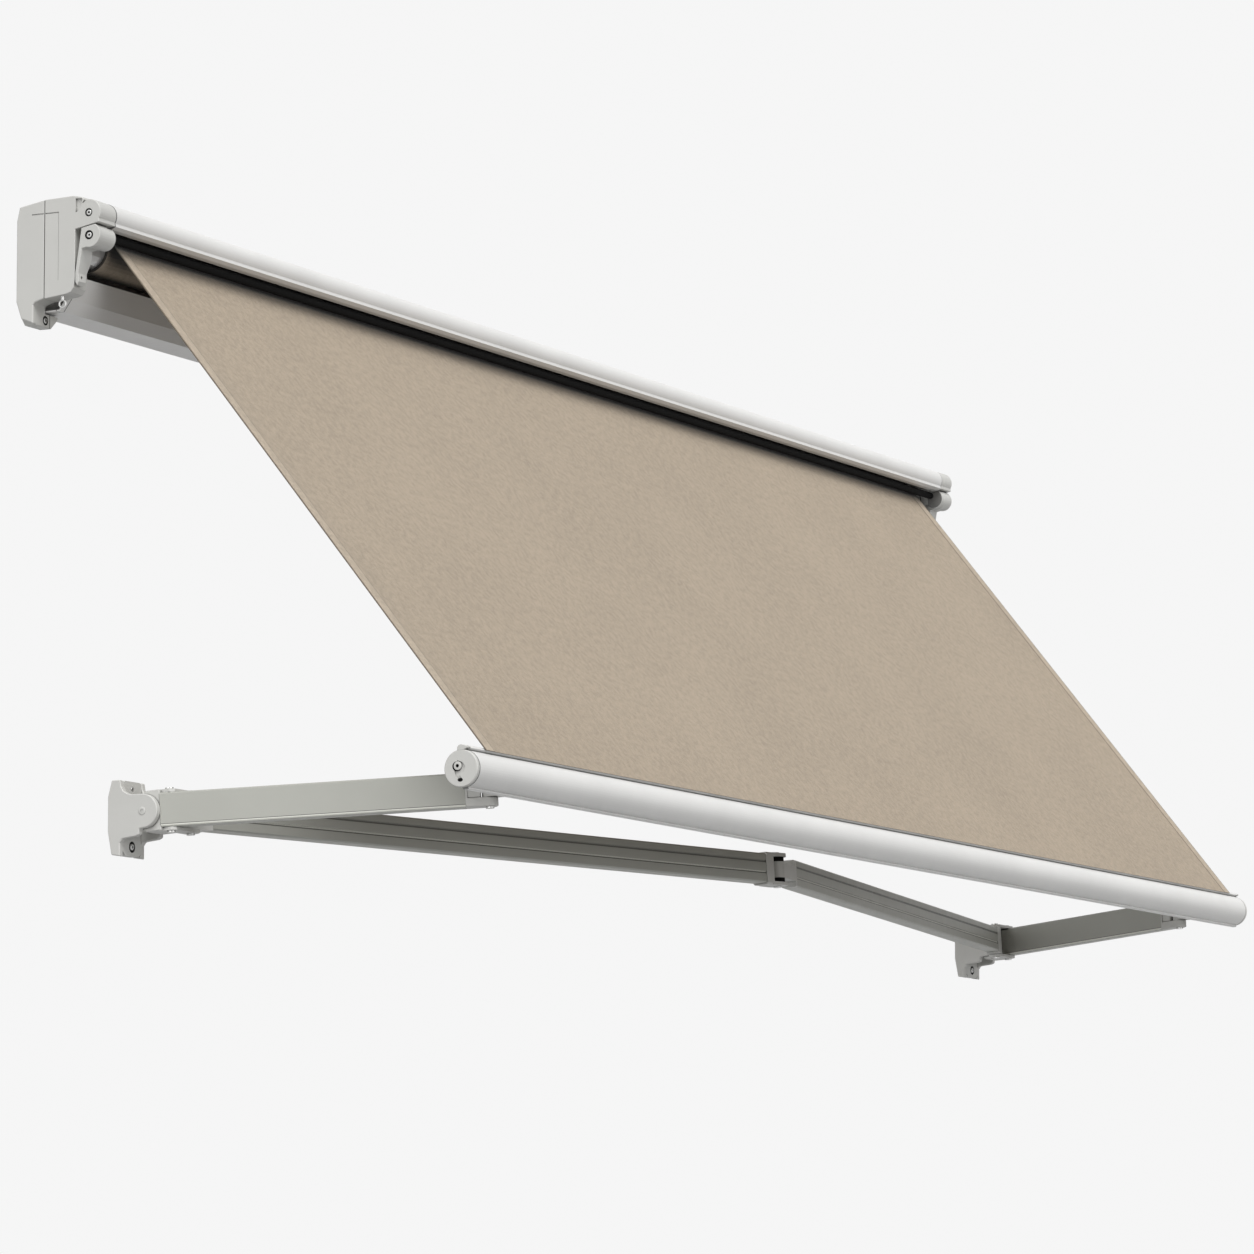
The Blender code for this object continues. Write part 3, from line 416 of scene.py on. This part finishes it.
def bridge(bm, rings):
    """Faces between each ring of points and the next."""
    for first, second in zip(rings, rings[1:]):
        count = len(first)
        for i in range(count):
            j = (i + 1) % count
            bm.faces.new((first[i], first[j], second[j], second[i]))


def stand_on(bm, place, normal):
    """Move what was built round +Z to a place, with its +Z along a normal."""
    turn = Vector(normal).to_track_quat("Z", "Y").to_matrix().to_4x4()
    bmesh.ops.transform(bm, verts=bm.verts, matrix=Matrix.Translation(place) @ turn)


# A screw head, as shares of its radius and height: its outline from the seat up, and its socket
HEAD_OUTLINE = ((1.0, 0.0), (1.0, 0.45), (0.93, 0.80), (0.78, 1.0))
SOCKET_RADIUS = 0.45
SOCKET_FLOOR = 0.25
SEAL_SHADE_THICKNESS = 0.4 * MM


def screw(name, place, normal, head, body, material=STEEL):
    """A pan head screw with a hexagon socket, its seat at a place and its head along a normal; a
    steel screw's socket floor is black, as painted shade.
    """
    bm = bmesh.new()
    radius, height = head
    rings = [ring(bm, reach * radius, up * height) for reach, up in HEAD_OUTLINE]
    for up in (1.0, SOCKET_FLOOR):
        rings.append(ring(bm, SOCKET_RADIUS * radius, up * height, sides=6))
    bridge(bm, rings)
    bm.faces.new(rings[0])
    bm.faces.new(rings[-1]).material_index = 1
    stand_on(bm, place, normal)
    piece = add_piece(name, bm, material, body)
    # A steel screw's socket floor gets the black finish, as painted shade in the socket
    piece.data.materials.append(DARK if material is STEEL else material)
    return piece


def add_seal_shade_ring(name, place, normal, inner, outer, body):
    """A black ring lying on a face, round a screw as a seal and as painted shade of the gap round
    its head; a full disc of painted shadow where inner is 0.
    """
    bm = bmesh.new()
    rings = [ring(bm, outer, 0.0), ring(bm, outer - SEAL_SHADE_THICKNESS / 2, SEAL_SHADE_THICKNESS)]
    if inner:
        rings += [ring(bm, inner, SEAL_SHADE_THICKNESS), ring(bm, inner, 0.0)]
        rings.append(rings[0])
    else:
        bm.faces.new(rings[0])
        bm.faces.new(rings[-1])
    bridge(bm, rings)
    stand_on(bm, place, normal)
    return add_piece(name, bm, DARK, body)


# Places that part.py also has, in metres. The foot's spot is measured inwards from the cover's face,
# and the bar's centre along the arms from the tilt axis.
HALF_WIDTH = 2.000
LOBE = (-0.1585, 0.0637)
LEVER = (-0.1596, 0.0206)
SCREW_DEPTH = 0.003
FOOT_SPOT = (0.04475, -0.0345, -0.1265)
FOOT_RECESS = 0.003
HALF_ARMS = 1.964
HALF_BRACKET = 0.045
BRACKET_FLOOR = -0.238
BRACKET_FACE = -0.242
EAR_HEIGHT, FOOT_HEIGHT = 0.046, -0.062
BAR_CENTRE = (-0.635, 0.0145)
HALF_BAR_OUTER = 1.9475

# Screw heads as radius and height, and the black rings, each a seal and painted shade round a head,
# as inner and outer radius
COVER_HEAD = (5.6 * MM, 2.8 * MM)
LOBE_SEAL_SHADE = (6.4 * MM, 7.8 * MM)
LEVER_SEAL_SHADE = (6.4 * MM, 8.8 * MM)
FOOT_HEAD = (5.8 * MM, 4.5 * MM)
FOOT_SEAL_SHADE = (6.6 * MM, 9.0 * MM)
EAR_HEAD = (4.0 * MM, 4.5 * MM)
BRACKET_FOOT_HEAD = (6.2 * MM, 5.5 * MM)
BRACKET_FOOT_SEAL_SHADE = (8.3 * MM, 10.5 * MM)
NOSE_HEAD = (7.5 * MM, 1.2 * MM)
CAP_HEAD = (8.0 * MM, 1.6 * MM)
# A black disc of painted shadow on each cap below its screw's boss, as inner and outer radius
SHADOW_DISC = (0.0, 9.0 * MM)

# Places on the bar's caps, measured from the bar's centre
CAP_BOSS = (6.0 * MM, 5.0 * MM)
CAP_SHADOW_SPOT = (8.0 * MM, 4.4 * MM)
CAP_SLOT = (2.5 * MM, -21 * MM)
CAP_SLOT_REACH = (0.9 * MM, 5.4 * MM, 3.4 * MM)

# The air under a black ring, and the way to the street
GAP = 0.00005
STREETWARD = (0.0, -1.0, 0.0)


def arm_to_world(x, y, z):
    """A point of the arm frame, measured from the tilt axis along the arms, in the row frame."""
    c, s = math.cos(REST_TILT), math.sin(REST_TILT)
    return Vector((x, TILT[0] + y * c + z * s, TILT[1] - y * s + z * c))


def on_cap(side, offset):
    """A point on a cap's outer face, measured from the bar's centre."""
    return arm_to_world(side * HALF_BAR_OUTER, BAR_CENTRE[0] + offset[0], BAR_CENTRE[1] + offset[1])


def add_cassette_screws(label, side):
    outward = (side, 0.0, 0.0)
    seat = side * (HALF_WIDTH - SCREW_DEPTH)
    face = side * (HALF_WIDTH + GAP)
    # Each screw gets a black ring on the face round it, a seal and painted shade of the gap round
    # its head
    for name, spot, seal_shade in (("lobe", LOBE, LOBE_SEAL_SHADE), ("lever", LEVER, LEVER_SEAL_SHADE)):
        screw(f"{label}_{name}_screw", (seat, *spot), outward, COVER_HEAD, "wall_frame")
        add_seal_shade_ring(f"{label}_{name}_seal", (face, *spot), outward, *seal_shade, "wall_frame")
    foot = (side * (HALF_WIDTH - FOOT_SPOT[0]), FOOT_SPOT[1], FOOT_SPOT[2])
    screw(f"{label}_foot_screw", foot, STREETWARD, FOOT_HEAD, "wall_frame")
    rim = (foot[0], foot[1] - FOOT_RECESS - GAP, foot[2])
    add_seal_shade_ring(f"{label}_foot_seal", rim, STREETWARD, *FOOT_SEAL_SHADE, "wall_frame")


def add_bracket_screws(label, side):
    middle = side * HALF_ARMS
    ear = (middle, BRACKET_FLOOR, TILT[1] + EAR_HEIGHT)
    screw(f"{label}_ear_screw", ear, STREETWARD, EAR_HEAD, "wall_frame")
    foot = (middle, BRACKET_FLOOR, TILT[1] + FOOT_HEIGHT)
    screw(f"{label}_bracket_foot_screw", foot, STREETWARD, BRACKET_FOOT_HEAD, "wall_frame")
    # A black ring round the foot screw, a seal and painted shade of the gap round its head
    rim = (middle, BRACKET_FACE - GAP, TILT[1] + FOOT_HEIGHT)
    add_seal_shade_ring(f"{label}_bracket_foot_seal", rim, STREETWARD, *BRACKET_FOOT_SEAL_SHADE, "wall_frame")
    nose = (middle + side * HALF_BRACKET, *TILT)
    outward = (side, 0.0, 0.0)
    screw(f"{label}_nose_screw", nose, outward, NOSE_HEAD, "wall_frame", CASTING)


def add_cap_screw(label, side):
    outward = (side, 0.0, 0.0)
    boss = on_cap(side, CAP_BOSS)
    screw(f"{label}_cap_screw", boss, outward, CAP_HEAD, "arm_frame", CASTING)
    # A black disc on the cap's face stands for the crescent shadow below the screw's boss
    shadow = on_cap(side, CAP_SHADOW_SPOT)
    add_seal_shade_ring(f"{label}_cap_crescent", shadow, outward, *SHADOW_DISC, "arm_frame")


def add_screws():
    for label, side in SIDES:
        add_cassette_screws(label, side)
        add_bracket_screws(label, side)
        add_cap_screw(label, side)


# Webs on the lugs that join the arms' tips to the bar connectors. The tip and the root are the ends
# of an arm in the arm frame, and each section of a web is its distance from the tip and its top.
TIP = (1.733, -0.579)
ROOT = (1.974, -0.040)
WEB_HALF_WIDTH = 0.0145
WEB_LOW = -0.0147
WEB_SECTIONS = ((0.0436, 0.0044), (0.0356, 0.0014), (0.0296, 0.0004), (0.0160, 0.0004))
WEB_SOFTENING = 1.2 * MM


def add_tip_webs():
    for label, side in SIDES:
        tip = Vector((side * TIP[0], TIP[1]))
        root = Vector((side * ROOT[0], ROOT[1]))
        run = (tip - root).normalized()
        out = Vector((-run.y, run.x)) * WEB_HALF_WIDTH
        bm = bmesh.new()
        rings = []
        for back, high in WEB_SECTIONS:
            inner = tip - run * back - out
            outer = tip - run * back + out
            corners = ((inner, WEB_LOW), (outer, WEB_LOW), (outer, high), (inner, high))
            rings.append([bm.verts.new(arm_to_world(*spot, up)) for spot, up in corners])
        bridge(bm, rings)
        bm.faces.new(rings[0])
        bm.faces.new(rings[-1])
        web = add_piece(f"{label}_tip_web", bm, CASTING, "arm_frame")
        soften = web.modifiers.new("Soften", "BEVEL")
        soften.width = WEB_SOFTENING
        soften.segments = 2


def add_cap_slot_shades():
    """Black lumps in the slots below the screws of the bar's caps, as painted shade in the slots."""
    for label, side in SIDES:
        bm = bmesh.new()
        bmesh.ops.create_uvsphere(bm, u_segments=20, v_segments=10, radius=1.0)
        bmesh.ops.scale(bm, vec=CAP_SLOT_REACH, verts=bm.verts)
        bmesh.ops.translate(bm, vec=on_cap(side, CAP_SLOT), verts=bm.verts)
        add_piece(f"{label}_cap_slot", bm, DARK, "arm_frame")


# The canvas: a stretched sheet from the roll to the hook of the bar, with a folded hem at each side
CANVAS_TOP = Vector((0.0, -0.12069, 0.04555))
CANVAS_END = Vector((0.0, -0.93893, -0.97723))
CANVAS_HALF_WIDTH = 1.882
CANVAS_THICKNESS = 0.8 * MM
CANVAS_COLUMNS, CANVAS_ROWS = 48, 40
HEM_RISE = 0.8 * MM
SEAM_WIDTH = 4 * MM
HEM_INSIDE = CANVAS_HALF_WIDTH - 38 * MM
EDGE_INSIDE = CANVAS_HALF_WIDTH - 4 * MM


def canvas_section():
    """Points from side to side, each with the rise that the folded hems give it."""
    across = [-CANVAS_HALF_WIDTH, -EDGE_INSIDE, -HEM_INSIDE - SEAM_WIDTH, -HEM_INSIDE]
    for i in range(CANVAS_COLUMNS):
        across.append(-HEM_INSIDE + 2 * HEM_INSIDE * (i + 1) / CANVAS_COLUMNS)
    across += [HEM_INSIDE + SEAM_WIDTH, EDGE_INSIDE, CANVAS_HALF_WIDTH]
    hem = [HEM_RISE * 0.5, HEM_RISE, HEM_RISE]
    rise = hem + [0.0] * (CANVAS_COLUMNS + 1) + hem[::-1]
    return list(zip(across, rise))


def paint_hems(canvas):
    cloths = [CLOTH, HEM, SEAM, EDGE_SHADE]
    for cloth in cloths[1:]:
        canvas.data.materials.append(cloth)
    for face in canvas.data.polygons:
        reach = abs(face.center.x)
        # The outermost strip gets the painted shade of the hem's fold
        if reach > EDGE_INSIDE:
            face.material_index = cloths.index(EDGE_SHADE)
        elif reach > HEM_INSIDE + SEAM_WIDTH:
            face.material_index = cloths.index(HEM)
        elif reach > HEM_INSIDE:
            face.material_index = cloths.index(SEAM)


def add_canvas():
    run = CANVAS_END - CANVAS_TOP
    normal = Vector((0.0, run.z, -run.y)).normalized()
    half = CANVAS_THICKNESS / 2
    section = canvas_section()
    bm = bmesh.new()
    loops = []
    for row in range(CANVAS_ROWS + 1):
        place = CANVAS_TOP + run * (row / CANVAS_ROWS)
        loop = [place + normal * (half + rise) + Vector((x, 0.0, 0.0)) for x, rise in section]
        loop += [place - normal * half + Vector((x, 0.0, 0.0)) for x, _ in reversed(section)]
        loops.append([bm.verts.new(point) for point in loop])
    bridge(bm, loops)
    for loop in (loops[0], loops[-1]):
        for i in range(len(section) - 1):
            bm.faces.new((loop[i], loop[i + 1], loop[-i - 2], loop[-i - 1]))
    canvas = add_piece("canvas_sheet", bm, CLOTH, None)
    paint_hems(canvas)
    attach(canvas, "wall_frame")
    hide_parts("canvas")
    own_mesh(canvas)


# Light and stage. The camera and glossy rays see the pale levels, and the rest get the lit ones.
FLOOR_HEIGHT = -3.2
FLOOR_REACH = 40.0
FLOOR_COLOUR = (0.80, 0.80, 0.80)
FLOOR_SEEN = (0.85, 0.85, 0.85)
FLOOR_LIT = (0.30, 0.30, 0.30)
WORLD_SEEN = 0.92
WORLD_LIT = 0.27

# Suns: the way towards each, its strength, and the angle it spans in degrees
SUNS = (
    ("key", (-0.45, -0.35, 0.82), 2.25, 36.0),
    ("left_fill", (-0.97, 0.10, 0.05), 0.90, 30.0),
    ("street_fill", (-0.20, -0.95, 0.18), 0.90, 40.0),
)


def seen_ray(tree):
    """1 for the camera and glossy rays, 0 for the others."""
    path = tree.nodes.new("ShaderNodeLightPath")
    return math_node(tree, "MAXIMUM", path.outputs["Is Camera Ray"], path.outputs["Is Glossy Ray"])


def add_stage():
    mesh = bpy.data.meshes.new("floor")
    corners = ((-1, -1), (1, -1), (1, 1), (-1, 1))
    points = [(x * FLOOR_REACH, y * FLOOR_REACH, FLOOR_HEIGHT) for x, y in corners]
    mesh.from_pydata(points, [], [(0, 1, 2, 3)])
    floor = bpy.data.objects.new("floor", mesh)
    bpy.context.scene.collection.objects.link(floor)
    mat, tree, shader = shader_of("floor_matt", FLOOR_COLOUR, roughness=0.9)
    colour = mix_colour(tree, seen_ray(tree), FLOOR_LIT, FLOOR_SEEN)
    tree.links.new(colour, shader.inputs["Base Color"])
    mesh.materials.append(mat)


def add_world():
    world = bpy.data.worlds.new("studio")
    bpy.context.scene.world = world
    world.use_nodes = True
    tree = world.node_tree
    tree.nodes.clear()
    output = tree.nodes.new("ShaderNodeOutputWorld")
    seen = tree.nodes.new("ShaderNodeBackground")
    seen.inputs["Color"].default_value = (WORLD_SEEN, WORLD_SEEN, WORLD_SEEN, 1.0)
    lit = tree.nodes.new("ShaderNodeBackground")
    lit.inputs["Color"].default_value = (1.0, 1.0, 1.0, 1.0)
    lit.inputs["Strength"].default_value = WORLD_LIT
    mix = tree.nodes.new("ShaderNodeMixShader")
    tree.links.new(seen_ray(tree), mix.inputs["Fac"])
    tree.links.new(lit.outputs["Background"], mix.inputs[1])
    tree.links.new(seen.outputs["Background"], mix.inputs[2])
    tree.links.new(mix.outputs["Shader"], output.inputs["Surface"])


def add_sun(name, towards, strength, softness):
    """A soft, even light from one side, as a large studio panel far away gives."""
    data = bpy.data.lights.new(name, "SUN")
    data.energy = strength
    data.angle = math.radians(softness)
    light = bpy.data.objects.new(name, data)
    bpy.context.scene.collection.objects.link(light)
    light.rotation_euler = Vector(towards).to_track_quat("Z", "Y").to_euler()


add_camera()
dress_frame()
add_screws()
add_tip_webs()
add_cap_slot_shades()
add_canvas()
add_stage()
add_world()
for sun in SUNS:
    add_sun(*sun)
bpy.context.scene.view_settings.view_transform = "Standard"
